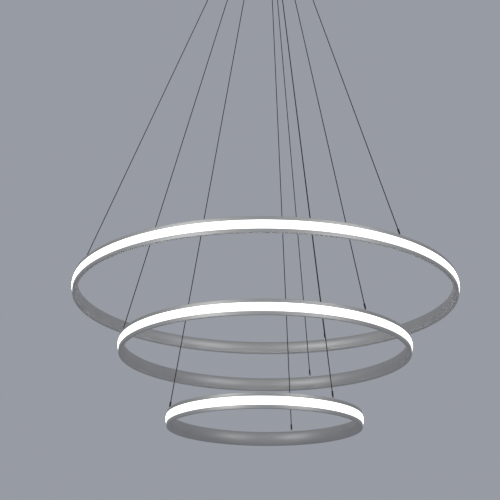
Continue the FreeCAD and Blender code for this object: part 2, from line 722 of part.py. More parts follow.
def terminal_block(name, label, turn=0):
    """A terminal block: three ways, each with a wire port right through."""
    body = padded_block(name + "_body", "block_length", "block_width", "block_height",
                        "block_corner")
    sketch = body.newObject("Sketcher::SketchObject", "Ports")
    sketch.AttachmentSupport = [(origin_plane(body, "XZ_Plane"), "")]
    sketch.MapMode = "FlatFace"
    for step in ("-block_pitch", "0", "block_pitch"):
        centre = (step, "-plate_thickness - block_height / 2")
        index = sketch.addGeometry(Part.Circle(
            Vector(size(centre[0]), size(centre[1]), 0), Vector(0, 0, 1), size("block_port") / 2))
        pin_point(sketch, index, 3, centre)
        row = sketch.addConstraint(Sketcher.Constraint("Diameter", index, size("block_port")))
        sketch.setExpression("Constraints[%d]" % row, bound("block_port"))
    pocket = body.newObject("PartDesign::Pocket", "PortHoles")
    pocket.Profile = sketch
    pocket.Type = "ThroughAll"
    pocket.Midplane = True
    sketch.Visibility = False
    holes = new_sketch(body, "XY_Plane", "-plate_thickness")
    circles(holes, [("block_screw_side", side) for side in ("90", "270")], "small_screw_hole")
    drill = body.newObject("PartDesign::Pocket", "FixingHoles")
    drill.Profile = holes
    drill.Type = "ThroughAll"
    holes.Visibility = False
    set_by_azimuth(body, name, turn)
    return node(body, label)


def headed_screw_body(name, shank, head, head_height, length):
    """A screw that points up: its seat face at height 0 and its head below."""
    shank, head = shank + " / 2", head + " / 2"
    return turned(name, [
        ("0", "-" + head_height), (head + " - %s / 2" % head_height, "-" + head_height),
        (head, "-%s / 2" % head_height), (head, "0"), (shank, "0"), (shank, length),
        ("0", length)])


def local_place(name, along, height, turn=0):
    """A placement at a distance along a fitting that is set by its inset and azimuth."""
    azimuth = size(name + "_azimuth")
    base = facing(azimuth + turn, polar(size(inset(name)), azimuth, 0))
    return base.multiply(FreeCAD.Placement(Vector(along, 0, height), FreeCAD.Rotation()))


def driver_screws():
    """The two screws through the driver's ears, up to the plate."""
    source = headed_screw_body("driver_screw_body", "small_screw_diameter",
                               "small_head_diameter", "small_head_height", "ear_thickness")
    reach = size("driver_length / 2 + driver_ear / 2")
    height = size("-plate_thickness - ear_thickness")
    places = [local_place("driver", side * reach, height) for side in (-1, 1)]
    return plain(copies_at(source, places), "driver_screws")


def terminal_screws():
    """The screws up through the two terminal blocks to the plate."""
    source = headed_screw_body("block_screw_body", "small_screw_diameter",
                               "small_head_diameter", "small_head_height", "block_height")
    height = size("-plate_thickness - block_height")
    reach = size("block_screw_side")
    places = [local_place(name, side * reach, height, turn)
              for name, turn in (("block", 0), ("output", SIDEWAYS)) for side in (-1, 1)]
    return plain(copies_at(source, places), "terminal_screws")


def earth_screw():
    """The earth screw in the plate."""
    source = headed_screw_body("earth_body", "earth_screw_diameter", "earth_head_diameter",
                               "earth_head_height", "plate_thickness")
    place = local_place("earth", 0, size("-plate_thickness"))
    return plain(copies_at(source, [place]).Solids[0], "earth_screw")


def waypoint(bend, azimuth, height):
    """A lead's bend at its distance in from the canopy's rim."""
    return polar(size("canopy_diameter / 2 - " + bend), azimuth, height)


# the azimuths of the leads' bends on their way
LIVE_BENDS = (("live_bend_1", 180), ("live_bend_2", 166.6))
NEUTRAL_BENDS = (("neutral_bend_1", 171.6), ("neutral_bend_2", 160.4))
OUTPUT_BENDS = (
    (("outer_bend_1", 55), ("outer_bend_2", 30), ("outer_bend_3", 358), ("outer_bend_4", 340)),
    (("inner_bend_1", 57), ("inner_bend_2", 32), ("inner_bend_3", 355), ("inner_bend_4", 347)))


def mains_leads():
    """Live and neutral from the terminal block to the driver's near end, side by side."""
    leads = []
    height = size("-plate_thickness - block_height / 2")
    entry = local_place("driver", size("driver_length / 2"), height)
    face, gap = size("block_width / 2"), size("lead_gap")
    for side, bends, end in ((-1, LIVE_BENDS, "live_lead_end"),
                             (1, NEUTRAL_BENDS, "neutral_lead_end")):
        port = local_place("block", side * size("block_pitch"), height)
        lane = side * size("mains_lead_side")
        points = [port.multVec(Vector(0, face + gap, 0)),
                  port.multVec(Vector(0, face + size("mains_lead_start"), 0))]
        points += [waypoint(*bend, height) for bend in bends]
        points += [entry.multVec(Vector(size(end), lane, 0)),
                   entry.multVec(Vector(gap, lane, 0))]
        leads.append(bent_rod(points, size("mains_lead_diameter")))
    return plain(Part.makeCompound(leads), "mains_leads")


def output_leads():
    """From the driver's far end to the output block, and from it to the fed cables' tails."""
    leads = []
    height = size("-plate_thickness - block_height / 2")
    gap, diameter = size("lead_gap"), size("output_lead_diameter")
    block = local_place("output", 0, height, SIDEWAYS)
    outlet = local_place("driver", -size("driver_length / 2"), height)
    for side, bends in zip((-1, 1), OUTPUT_BENDS):
        lane = side * size("output_lead_side")
        end = -size("block_length / 2")
        points = [outlet.multVec(Vector(-gap, lane, 0)),
                  outlet.multVec(Vector(-size("output_lead_end"), lane, 0))]
        points += [waypoint(*bend, height) for bend in bends]
        points += [block.multVec(Vector(end - size("output_lead_end"), -lane, 0)),
                   block.multVec(Vector(end - gap, -lane, 0))]
        leads.append(bent_rod(points, diameter))
    tail_top = size(THREAD_TOP + " + tail_rise + lead_gap")
    for index, side in zip(FED_CABLES, (-1, 1)):
        for tier, way in zip(TIERS, (-1, 0, 1)):
            tail = polar(size(tier + "_grip_radius"), size(tier + "_azimuth") + index * THIRD,
                         tail_top)
            face, lane = side * size("block_width / 2"), way * size("block_pitch")
            points = [block.multVec(Vector(lane, face + side * gap, 0)),
                      block.multVec(Vector(lane, face + side * size("output_lead_start"), 0)),
                      Vector(tail.x, tail.y, height), tail]
            leads.append(bent_rod(points, diameter))
    return plain(Part.makeCompound(leads), "output_leads")


def check_and_export():
    """Stops at any failed object, then writes one STEP file for each named piece."""
    document.recompute()
    for made in document.Objects:
        if "Invalid" in made.State or "Error" in made.State:
            raise RuntimeError("%s failed: %s" % (made.Label, made.State))
    os.makedirs("parts", exist_ok=True)
    for part in nodes:
        shape = part.Shape
        if shape.isNull() or not shape.isValid() or not shape.Solids:
            raise RuntimeError("%s has no valid solid" % part.Label)
        shape.exportStep("parts/%s.step" % part.Label)
        print("%-24s %2d solids %12.1f mm3" % (part.Label, len(shape.Solids), shape.Volume))
    print(len(nodes), "nodes")


def main():
    fill_sheet()
    terminal = terminal_body()
    for tier in TIERS:
        channel(tier)
        diffuser(tier)
        led_strip(tier)
        terminals(tier, terminal)
        cable_ends(tier)
        feed_leads(tier)
        cables(tier)
        grips(tier)
    mounting_plate()
    grommet()
    canopy_cover()
    cover_screws()
    plain(copies_at(barrel_body(), all_grip_places()), "grip_barrels")
    plain(copies_at(nut_body(), all_grip_places()), "grip_nuts")
    cable_tails()
    driver()
    driver_screws()
    terminal_block("block", "mains_terminal")
    terminal_block("output", "output_terminal", SIDEWAYS)
    terminal_screws()
    earth_screw()
    mains_leads()
    output_leads()
    check_and_export()


main()
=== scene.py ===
"""LED ring chandelier: three lit rings on nine thin cables under a round canopy.

Metres. The origin is the middle of the canopy's plate on the ceiling and +Z is up. Places
round the Z axis are azimuths, counted from -Y towards +X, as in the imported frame.
"""
import math

import bpy
import bmesh
from bpy.props import FloatProperty, FloatVectorProperty, IntProperty, PointerProperty
from mathutils import Matrix, Vector


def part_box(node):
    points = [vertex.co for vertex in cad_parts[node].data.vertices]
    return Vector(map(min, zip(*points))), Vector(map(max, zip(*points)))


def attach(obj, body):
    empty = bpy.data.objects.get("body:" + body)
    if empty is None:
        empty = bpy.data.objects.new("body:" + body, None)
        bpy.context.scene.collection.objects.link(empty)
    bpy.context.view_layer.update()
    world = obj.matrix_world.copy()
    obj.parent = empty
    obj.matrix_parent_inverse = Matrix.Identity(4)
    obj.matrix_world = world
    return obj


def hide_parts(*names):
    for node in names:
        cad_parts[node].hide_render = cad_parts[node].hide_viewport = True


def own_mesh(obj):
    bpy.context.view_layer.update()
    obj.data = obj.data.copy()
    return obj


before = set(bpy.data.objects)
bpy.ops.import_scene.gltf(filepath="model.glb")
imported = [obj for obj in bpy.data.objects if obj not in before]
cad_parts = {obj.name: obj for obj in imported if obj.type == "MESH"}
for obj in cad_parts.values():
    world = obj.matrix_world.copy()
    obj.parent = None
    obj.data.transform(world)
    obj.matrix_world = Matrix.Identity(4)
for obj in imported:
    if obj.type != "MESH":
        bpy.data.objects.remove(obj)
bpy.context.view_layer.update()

bl_info = {
    "name": "LED ring chandelier",
    "version": (1, 0, 0),
    "blender": (4, 5, 0),
    "location": "3D View > Sidebar > Chandelier",
    "description": "Builds the rings, cables, canopy and finishes round the packed frame",
    "category": "Add Mesh",
}

TIERS = ("upper", "middle", "lower")
CABLES = (1, 2, 3)
THIRD = 2 * math.pi / 3
FINE_RELIEF = 0.0002


def ring_body(tier):
    return tier + "_ring"


def ring_middle(tier):
    """The height of a ring's mid-plane."""
    low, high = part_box(tier + "_channel")
    return (low.z + high.z) / 2


def crown_radius_of(tier):
    """The outer radius of a ring over its diffuser."""
    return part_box(tier + "_diffuser")[1].x


# ---------------------------------------------------------------- settings

def number(name, description, default, **more):
    return FloatProperty(name=name, description=description, default=default, min=0, **more)


def length(name, description, default):
    return number(name, description, default, unit="LENGTH", precision=4)


def share(name, description, default):
    return number(name, description, default, max=1, subtype="FACTOR")


def angle(name, description, degrees):
    return FloatProperty(name=name, description=description, subtype="ANGLE",
                         default=math.radians(degrees))


def tint(name, description, default):
    return FloatVectorProperty(name=name, description=description, default=default, min=0,
                               max=1, size=3, subtype="COLOR")


class RingSettings(bpy.types.PropertyGroup):
    """The rings' section, as depths inward from the lip face and heights."""
    section_height: length("Section height", "Height of the channel", 0.030)
    section_depth: length("Section depth", "Lip face to the back's crown", 0.011)
    corner_radius: length("Corner radius", "Radius of the back's corners", 0.007)
    crown_radius: length("Crown radius", "Radius of the back's crown", 0.030)
    wall: length("Wall", "Wall above and below the room for the strip", 0.0025)
    lip_thickness: length("Lip thickness", "Thickness of the two lips", 0.0018)
    mouth_height: length("Mouth height", "Opening between the lips", 0.0165)
    shelf_depth: length("Shelf depth", "Depth of the room at its corners", 0.006)
    land_depth: length("Land depth", "Depth of the face the strip is stuck on", 0.008)
    land_height: length("Land height", "Height of that face", 0.012)
    lip_edge: length("Lip edge", "Rounding of the outer edges", 0.0006)
    mouth_edge: length("Mouth edge", "Rounding of the edges at the mouth", 0.0003)
    proud: length("Diffuser proud", "Crown of the diffuser over the lip face", 0.002)
    edge_proud: length("Diffuser edge", "Edge of the diffuser over the lip face", 0.0005)
    diffuser_wall: length("Diffuser wall", "Thickness of the diffuser", 0.0016)
    diffuser_gap: length("Diffuser gap", "Room between diffuser and lips", 0.00015)
    hook_height: length("Hook height", "Reach of the hooks behind the lips", 0.001)
    hook_thickness: length("Hook thickness", "Thickness of the hooks", 0.0012)
    strip_width: length("Strip width", "Width of the LED board", 0.010)
    strip_thickness: length("Strip thickness", "Thickness of the LED board", 0.001)
    glue_gap: length("Glue gap", "Land to the back of the LED board", 0.00005)
    chip_pitch: length("Chip pitch", "Distance between LED chips", 0.0167)
    segments: IntProperty(name="Segments", description="Steps round each ring", default=320,
                          min=16, max=1024)


class HangingSettings(bpy.types.PropertyGroup):
    """Terminals, cable ends, cables and grips."""
    upper_azimuth: angle("Upper azimuth", "First cable of the upper ring", 38)
    middle_azimuth: angle("Middle azimuth", "First cable of the middle ring", 39)
    lower_azimuth: angle("Lower azimuth", "First cable of the lower ring", 42)
    upper_grip: length("Upper grips", "Radius of the upper ring's grips", 0.093)
    middle_grip: length("Middle grips", "Radius of the middle ring's grips", 0.0625)
    lower_grip: length("Lower grips", "Radius of the lower ring's grips", 0.0365)
    terminal_depth: length("Terminal depth", "Lip face to the terminals", 0.0037)
    terminal_seat: length("Terminal seat", "Mid-plane to the terminals' seat", 0.0138)
    terminal_height: length("Terminal height", "Height of a terminal's head", 0.003)
    terminal_head: length("Terminal head", "Diameter of a terminal's head", 0.0056)
    terminal_hole: length("Terminal hole", "Diameter of the hole for a shank", 0.0037)
    terminal_sink: length("Terminal sink", "Diameter of the sink for a head", 0.0058)
    cable: length("Cable", "Diameter of a cable", 0.002)
    cable_lay: length("Cable lay", "Length of one turn of the strands", 0.011)
    cable_gap: length("Cable gap", "Gap between a crimped end and its cable", 0.0003)
    stub: length("Stub", "Bare cable between terminal and ferrule", 0.0035)
    ferrule_length: length("Ferrule length", "Length of a ferrule", 0.010)
    ferrule: length("Ferrule", "Diameter of a ferrule", 0.0036)
    throat_drop: length("Throat drop", "Ceiling to the cables' upper ends", 0.067)
    chamber_drop: length("Chamber drop", "Ceiling to the top of the grips' chambers", 0.0525)
    stroke: length("Stroke", "Travel of a grip's plunger", 0.0025)
    spring_free: length("Spring length", "Length of a grip's spring at rest", 0.00875)
    side_screw_drop: length("Side screw drop", "Ceiling to the side screws", 0.008)


class FinishSettings(bpy.types.PropertyGroup):
    """Colours and strengths of the finishes."""
    aluminium: tint("Aluminium", "Satin channels", (0.55, 0.55, 0.54))
    aluminium_roughness: share("Aluminium roughness", "Satin channels", 0.5)
    opal: tint("Opal", "Diffusers' own colour", (0.86, 0.86, 0.84))
    light: tint("Light", "Colour of the light through the diffusers", (1.0, 0.985, 0.96))
    light_strength: number("Light strength", "Glow of the diffusers", 4.5)
    cable: tint("Cable", "Steel cable", (0.016, 0.017, 0.02))
    ferrule: tint("Ferrule", "Oxide-black ferrules", (0.035, 0.036, 0.04))
    nickel: tint("Nickel", "Plated terminals and grips", (0.66, 0.65, 0.62))
    canopy: tint("Canopy", "Painted cover", (0.40, 0.41, 0.43))
    backdrop: tint("Backdrop", "Plain wall and floor", (0.312, 0.328, 0.366))


class StageSettings(bpy.types.PropertyGroup):
    """Camera and lamps."""
    lens: number("Lens", "Focal length on a 36 mm wide sensor, in mm", 69.9)
    eye: FloatVectorProperty(name="Eye", description="Place of the camera", size=3,
                             default=(0.0, -1.934, -1.570), subtype="TRANSLATION",
                             unit="LENGTH")
    pitch: angle("Pitch", "Upward tilt of the camera", 21.24)
    yaw: angle("Yaw", "Turn of the camera towards +X", -0.96)
    roll: angle("Roll", "Roll of the camera", -0.59)
    floor: length("Floor drop", "Ceiling to the floor", 4.4)
    floor_tone: number("Floor tone", "Floor's colour against the backdrop's", 1.75)
    floor_glow: share("Floor glow", "Share of the backdrop added where it is seen", 0.3)
    world: number("World strength", "Even light from all round", 0.32)
    key: number("Key lamp", "Soft lamp at the front left", 22, unit="POWER")
    fill: number("Fill lamp", "Soft lamp at the front right", 17, unit="POWER")


def ring_sizes():
    return bpy.context.scene.ring_sizes


def hanging_sizes():
    return bpy.context.scene.hanging_sizes


# ---------------------------------------------------------------- mesh helpers

def polar(radius, azimuth, height):
    return Vector((radius * math.sin(azimuth), -radius * math.cos(azimuth), height))


def linked(name, data):
    """An object of a mesh, a lamp or a camera, linked into the scene."""
    made = bpy.data.objects.new(name, data)
    bpy.context.scene.collection.objects.link(made)
    return made


def mesh_of(name, shape):
    """A mesh of a bmesh, which is freed."""
    mesh = bpy.data.meshes.new(name)
    shape.to_mesh(mesh)
    shape.free()
    return mesh


def grid_mesh(name, rings, looped=False):
    """A mesh through closed rows of points, all with the same number of points. It ends in
    two flat faces, or the last row is joined to the first."""
    shape = bmesh.new()
    rows = [[shape.verts.new(point) for point in ring] for ring in rings]
    pairs = list(zip(rows, rows[1:]))
    if looped:
        pairs.append((rows[-1], rows[0]))
    count = len(rows[0])
    for low, high in pairs:
        for index in range(count):
            after = (index + 1) % count
            shape.faces.new((low[index], low[after], high[after], high[index]))
    if not looped:
        shape.faces.new(rows[0][::-1])
        shape.faces.new(rows[-1])
    bmesh.ops.recalc_face_normals(shape, faces=shape.faces)
    return mesh_of(name, shape)


def lathe(name, profile, steps=32, shape_at=None):
    """A closed profile of (radius, height) turned about Z. shape_at(radius, height, angle)
    gives the radius there, for hexagons and knurls. A radius of 0 closes the end."""
    rings = []
    for radius, height in profile:
        ring = []
        for step in range(steps):
            angle = 2 * math.pi * step / steps
            r = shape_at(radius, height, angle) if shape_at else radius
            ring.append((r * math.cos(angle), r * math.sin(angle), height))
        rings.append(ring)
    if profile[0][0] == 0:
        return grid_mesh(name, rings[1:-1])
    return grid_mesh(name, rings, looped=True)


def rounded(corners, steps=4):
    """The outline with its corners rounded. A corner is (x, y) or (x, y, radius)."""
    outline = []
    count = len(corners)
    for index, corner in enumerate(corners):
        here = Vector(corner[:2])
        radius = corner[2] if len(corner) > 2 else 0
        if not radius:
            outline.append(tuple(here))
            continue
        before = (Vector(corners[index - 1][:2]) - here).normalized()
        after = (Vector(corners[(index + 1) % count][:2]) - here).normalized()
        half = before.angle(after) / 2
        reach = radius / math.tan(half)
        centre = here + (before + after).normalized() * (radius / math.sin(half))
        first, last = here + before * reach - centre, here + after * reach - centre
        sweep = first.angle_signed(last)
        for step in range(steps + 1):
            turn = -sweep * step / steps
            outline.append(tuple(centre + Matrix.Rotation(turn, 2) @ first))
    return outline


def arc(centre, radius, start, end, steps):
    """Points of an arc, its two ends left out. Angles in radians."""
    return [(centre[0] + radius * math.cos(start + (end - start) * step / steps),
             centre[1] + radius * math.sin(start + (end - start) * step / steps))
            for step in range(1, steps)]


def tube(name, points, radius, sides=12):
    """A round tube along the points, with flat ends."""
    points = [Vector(point) for point in points]
    rings, side = [], None
    for index, point in enumerate(points):
        along = (points[min(index + 1, len(points) - 1)]
                 - points[max(index - 1, 0)]).normalized()
        if side is None:
            side = along.orthogonal().normalized()
        side = (side - along * side.dot(along)).normalized()
        up = along.cross(side)
        rings.append([point + (side * math.cos(angle) + up * math.sin(angle)) * radius
                      for angle in (2 * math.pi * step / sides for step in range(sides))])
    return grid_mesh(name, rings)


def joined(name, meshes):
    """One mesh of several; the sources are removed."""
    whole = bmesh.new()
    for mesh in meshes:
        whole.from_mesh(mesh)
        bpy.data.meshes.remove(mesh)
    return mesh_of(name, whole)


def plain_mesh(name, source):
    """The evaluated object's mesh as a new mesh; the source object is removed."""
    bpy.context.view_layer.update()
    evaluated = source.evaluated_get(bpy.context.evaluated_depsgraph_get())
    mesh = bpy.data.meshes.new_from_object(evaluated)
    old = source.data
    bpy.data.objects.remove(source)
    bpy.data.meshes.remove(old)
    mesh.name = name
    return mesh


# ---------------------------------------------------------------- geometry node trees

def new_tree(name, inputs):
    """An empty tree with a geometry input and output and the named inputs."""
    tree = bpy.data.node_groups.new(name, "GeometryNodeTree")
    tree.is_modifier = True
    tree.interface.new_socket("Geometry", in_out="INPUT", socket_type="NodeSocketGeometry")
    for label, kind in inputs:
        tree.interface.new_socket(label, in_out="INPUT", socket_type="NodeSocket" + kind)
    tree.interface.new_socket("Geometry", in_out="OUTPUT", socket_type="NodeSocketGeometry")
    return tree, tree.nodes.new("NodeGroupInput"), tree.nodes.new("NodeGroupOutput")


def add_node(tree, kind, values=None, **settings_of_node):
    """A node with its properties, and its input sockets set from values or linked."""
    made = tree.nodes.new(kind)
    for key, value in settings_of_node.items():
        setattr(made, key, value)
    for key, value in (values or {}).items():
        if isinstance(value, bpy.types.NodeSocket):
            tree.links.new(value, made.inputs[key])
        else:
            made.inputs[key].default_value = value
    return made


def calc(tree, operation, *values):
    """The result of a Math node on numbers or sockets."""
    return add_node(tree, "ShaderNodeMath", dict(enumerate(values)),
                    operation=operation).outputs[0]


def combined(tree, *values):
    return add_node(tree, "ShaderNodeCombineXYZ", dict(enumerate(values))).outputs[0]


def separated(tree, vector):
    return add_node(tree, "ShaderNodeSeparateXYZ", {0: vector}).outputs


def end_tree(tree, geometry, material, last):
    """Realizes instances, sets the material and ends the tree."""
    real = add_node(tree, "GeometryNodeRealizeInstances", {"Geometry": geometry})
    painted = add_node(tree, "GeometryNodeSetMaterial",
                       {"Geometry": real.outputs[0], "Material": material})
    tree.links.new(painted.outputs[0], last.inputs[0])


def sweep_tree():
    """Sweeps the object's own closed outline round a level circle."""
    tree, first, last = new_tree("Section swept round", [
        ("Radius", "Float"), ("Height", "Float"), ("Steps", "Int"), ("Finish", "Material")])
    given = first.outputs
    path = add_node(tree, "GeometryNodeCurvePrimitiveCircle",
                    {"Resolution": given["Steps"], "Radius": given["Radius"]})
    outline = add_node(tree, "GeometryNodeMeshToCurve", {"Mesh": given["Geometry"]})
    swept = add_node(tree, "GeometryNodeCurveToMesh", {
        "Curve": path.outputs[0], "Profile Curve": outline.outputs[0]})
    moved = add_node(tree, "GeometryNodeTransform", {
        "Geometry": swept.outputs[0], "Translation": combined(tree, 0, 0, given["Height"])})
    end_tree(tree, moved.outputs[0], given["Finish"], last)
    return tree


def copies_tree():
    """Copies the object's own mesh evenly round the Z axis, its -Y looking outward."""
    tree, first, last = new_tree("Copies round the axis", [
        ("Count", "Int"), ("Radius", "Float"), ("First azimuth", "Float"),
        ("Height", "Float"), ("Finish", "Material")])
    given = first.outputs
    index = add_node(tree, "GeometryNodeInputIndex").outputs[0]
    step = calc(tree, "DIVIDE", 2 * math.pi, given["Count"])
    turn = calc(tree, "MULTIPLY_ADD", index, step, given["First azimuth"])
    across = calc(tree, "MULTIPLY", calc(tree, "SINE", turn), given["Radius"])
    back = calc(tree, "MULTIPLY", given["Radius"], -1.0)
    along = calc(tree, "MULTIPLY", calc(tree, "COSINE", turn), back)
    points = add_node(tree, "GeometryNodePoints", {
        "Count": given["Count"],
        "Position": combined(tree, across, along, given["Height"])})
    copies = add_node(tree, "GeometryNodeInstanceOnPoints", {
        "Points": points.outputs[0], "Instance": given["Geometry"],
        "Rotation": combined(tree, 0, 0, turn)})
    end_tree(tree, copies.outputs[0], given["Finish"], last)
    return tree


def run_tree(name, source_mesh, tree, values):
    """The plain mesh that a tree makes of a source mesh with the named inputs."""
    source = linked(name + " source", source_mesh)
    modifier = source.modifiers.new("Rule", "NODES")
    modifier.node_group = tree
    sockets = {item.name: item.identifier for item in tree.interface.items_tree
               if item.item_type == "SOCKET" and item.in_out == "INPUT"}
    for label, value in values.items():
        modifier[sockets[label]] = value
    return plain_mesh(name, source)


def three_round(name, source_mesh, copies, tier, radius, height, slot):
    """Three copies of a mesh at the azimuths of a ring's cables."""
    return run_tree(name, source_mesh, copies, {
        "Count": len(CABLES), "Radius": radius, "First azimuth": azimuth_of(tier),
        "Height": height, "Finish": finish_for(slot)})


def outline_mesh(name, points):
    """A closed loop of edges in the XY plane: x outward, y up once swept."""
    mesh = bpy.data.meshes.new(name)
    count = len(points)
    mesh.from_pydata([(x, y, 0) for x, y in points],
                     [(index, (index + 1) % count) for index in range(count)], [])
    return mesh


def outward(mesh):
    """The mesh with its doubles merged and its faces pointing outwards."""
    shape = bmesh.new()
    shape.from_mesh(mesh)
    bmesh.ops.remove_doubles(shape, verts=shape.verts, dist=1e-7)
    bmesh.ops.recalc_face_normals(shape, faces=shape.faces)
    shape.to_mesh(mesh)
    shape.free()
    return mesh


def ring_map(mesh, middle, half):
    """Adds the Round map: u is the length of arc round the axis, v goes from 0 to 1 over the
    height."""
    layer = mesh.uv_layers.new(name="Round")
    points = mesh.vertices
    for face in mesh.polygons:
        angles = [math.atan2(points[v].co.x, -points[v].co.y) for v in face.vertices]
        wrap = max(angles) - min(angles) > math.pi
        for loop, angle in zip(face.loop_indices, angles):
            co = points[mesh.loops[loop].vertex_index].co
            if wrap and angle < 0:
                angle += 2 * math.pi
            radius = math.hypot(co.x, co.y)
            layer.data[loop].uv = (angle * radius, (co.z - middle) / (2 * half) + 0.5)


# ---------------------------------------------------------------- finishes

def new_finish(name):
    """A new material with its tree and its shader."""
    finish = bpy.data.materials.new(name)
    finish.use_nodes = True
    return finish, finish.node_tree, finish.node_tree.nodes["Principled BSDF"]


def object_place(tree):
    return add_node(tree, "ShaderNodeTexCoord").outputs["Object"]


def round_map(tree):
    """The length of arc and the share of the height on the Round map."""
    return separated(tree, add_node(tree, "ShaderNodeUVMap", uv_map="Round").outputs[0])[:2]


def noise(tree, vector, scale, detail=3.0, roughness=0.5):
    return add_node(tree, "ShaderNodeTexNoise", {
        "Vector": vector, "Scale": scale, "Detail": detail,
        "Roughness": roughness}).outputs["Fac"]


def between(tree, factor, low, high, from_low=0.3, from_high=0.7):
    return add_node(tree, "ShaderNodeMapRange", {
        "Value": factor, "From Min": from_low, "From Max": from_high, "To Min": low,
        "To Max": high}).outputs[0]


def scaled(colour, factor):
    return tuple(min(channel * factor, 1) for channel in colour)


def coloured(tree, shader, factor, dark, light):
    """Links a mix of two colours to the shader."""
    mix = add_node(tree, "ShaderNodeMix", {"Factor": factor, "A": (*dark, 1),
                                           "B": (*light, 1)}, data_type="RGBA")
    tree.links.new(mix.outputs["Result"], shader.inputs["Base Color"])


def bumped(tree, shader, height, strength, distance=FINE_RELIEF):
    bump = add_node(tree, "ShaderNodeBump", {"Height": height, "Strength": strength,
                                             "Distance": distance})
    tree.links.new(bump.outputs[0], shader.inputs["Normal"])


def rough(tree, shader, factor, low, high):
    tree.links.new(between(tree, factor, low, high), shader.inputs["Roughness"])


def round_coordinates(tree, along, grain):
    """Coordinates that follow a turned surface: stretched along it, fine across it."""
    place = separated(tree, object_place(tree))
    flat = combined(tree, place[0], place[1])
    radius = add_node(tree, "ShaderNodeVectorMath", {0: flat}, operation="LENGTH")
    ring = add_node(tree, "ShaderNodeVectorMath", {0: flat}, operation="NORMALIZE")
    wide = add_node(tree, "ShaderNodeVectorMath", {0: ring.outputs[0], "Scale": along},
                    operation="SCALE")
    parts = separated(tree, wide.outputs[0])
    tall = calc(tree, "MULTIPLY", place[2], grain)
    deep = calc(tree, "MULTIPLY", radius.outputs["Value"], grain)
    return combined(tree, parts[0], parts[1], calc(tree, "ADD", tall, deep))


def paint_aluminium(tree, shader, colours):
    """Satin silver-grey aluminium, its drawing lines running along the ring."""
    colour, roughness = colours.aluminium, colours.aluminium_roughness
    lines = noise(tree, round_coordinates(tree, along=6.0, grain=900.0), 1.0, 4.0, 0.6)
    clouds = noise(tree, object_place(tree), 9.0, 2.0)
    tone = calc(tree, "MULTIPLY_ADD", clouds, 0.55, calc(tree, "MULTIPLY", lines, 0.45))
    coloured(tree, shader, between(tree, tone, 0, 1), scaled(colour, 0.92),
             scaled(colour, 1.08))
    rough(tree, shader, lines, roughness * 0.86, roughness * 1.14)
    shader.inputs["Metallic"].default_value = 0.7
    bumped(tree, shader, lines, 0.025)


def paint_opal(tree, shader, colours):
    """Opal plastic with light behind it, its glow dimmed towards its two edges as painted
    shade.
    """
    height = round_map(tree)[1]
    away = calc(tree, "ABSOLUTE", calc(tree, "SUBTRACT", height, 0.5))
    # painted shade: full glow over the middle, fading to 4 % of it at the two edges
    painted_edge_shade = between(tree, away, 1.0, 0.04, 0.33, 0.5)
    grain = noise(tree, object_place(tree), 260.0, 2.0)
    glow = calc(tree, "MULTIPLY", painted_edge_shade, colours.light_strength)
    even = calc(tree, "MULTIPLY", glow, between(tree, grain, 0.985, 1.015))
    tree.links.new(even, shader.inputs["Emission Strength"])
    coloured(tree, shader, grain, scaled(colours.opal, 0.98), colours.opal)
    shader.inputs["Emission Color"].default_value = (*colours.light, 1)
    shader.inputs["Roughness"].default_value = 0.42
    shader.inputs["Coat Weight"].default_value = 0.08
    bumped(tree, shader, grain, 0.05)


def paint_board(tree, shader, colours):
    """White board with copper pads in cut marks every three chips, on the Round map."""
    along, height = round_map(tree)
    near = calc(tree, "LESS_THAN", calc(tree, "PINGPONG", along, 0.05), 0.0022)
    band = calc(tree, "GREATER_THAN", calc(tree, "PINGPONG", height, 0.25), 0.13)
    pads = calc(tree, "MULTIPLY", near, band)
    coloured(tree, shader, pads, (0.78, 0.78, 0.75), (0.62, 0.36, 0.2))
    rough(tree, shader, noise(tree, object_place(tree), 500.0), 0.3, 0.42)
    bumped(tree, shader, pads, 0.2, 0.0001)


def paint_grained(tree, shader, colour, metallic, roughness, scale, contrast, bump):
    """A finish whose tone, gloss and surface all follow one grain."""
    fine = noise(tree, object_place(tree), scale, 4.0, 0.6)
    clouds = noise(tree, object_place(tree), scale / 12, 2.0)
    blend = calc(tree, "ADD", fine, clouds)
    coloured(tree, shader, between(tree, blend, 0, 1, 0.7, 1.3),
             scaled(colour, 1 - contrast), scaled(colour, 1 + contrast))
    rough(tree, shader, fine, roughness * 0.85, min(roughness * 1.15, 1))
    shader.inputs["Metallic"].default_value = metallic
    bumped(tree, shader, fine, bump, 0.0003)


PAINTS = {"ring_aluminium": paint_aluminium, "lit_opal": paint_opal,
          "circuit_board": paint_board}

# colour, or its setting's name; metallic; roughness; scale of the grain; contrast; bump
GRAINED = {
    "nickel": ("nickel", 1.0, 0.28, 900, 0.06, 0.08),
    "dark_steel": ("ferrule", 0.6, 0.45, 1200, 0.2, 0.15),
    "steel_cable": ("cable", 0.4, 0.5, 1500, 0.2, 0.1),
    "spring_steel": ((0.42, 0.42, 0.43), 1.0, 0.3, 900, 0.08, 0.1),
    "lead_insulation": ((0.62, 0.62, 0.6), 0.0, 0.45, 420, 0.06, 0.1),
    "zinc_plate": ((0.55, 0.56, 0.58), 0.9, 0.38, 60, 0.12, 0.05),
    "black_rubber": ((0.03, 0.03, 0.032), 0.0, 0.75, 700, 0.2, 0.3),
    "canopy_paint": ("canopy", 0.35, 0.42, 1500, 0.05, 0.12),
    "driver_case": ((0.74, 0.74, 0.72), 0.0, 0.5, 900, 0.03, 0.25),
    "terminal_nylon": ((0.66, 0.62, 0.52), 0.0, 0.4, 500, 0.05, 0.15),
    "brass_screw": ((0.72, 0.52, 0.26), 1.0, 0.3, 800, 0.08, 0.1),
}


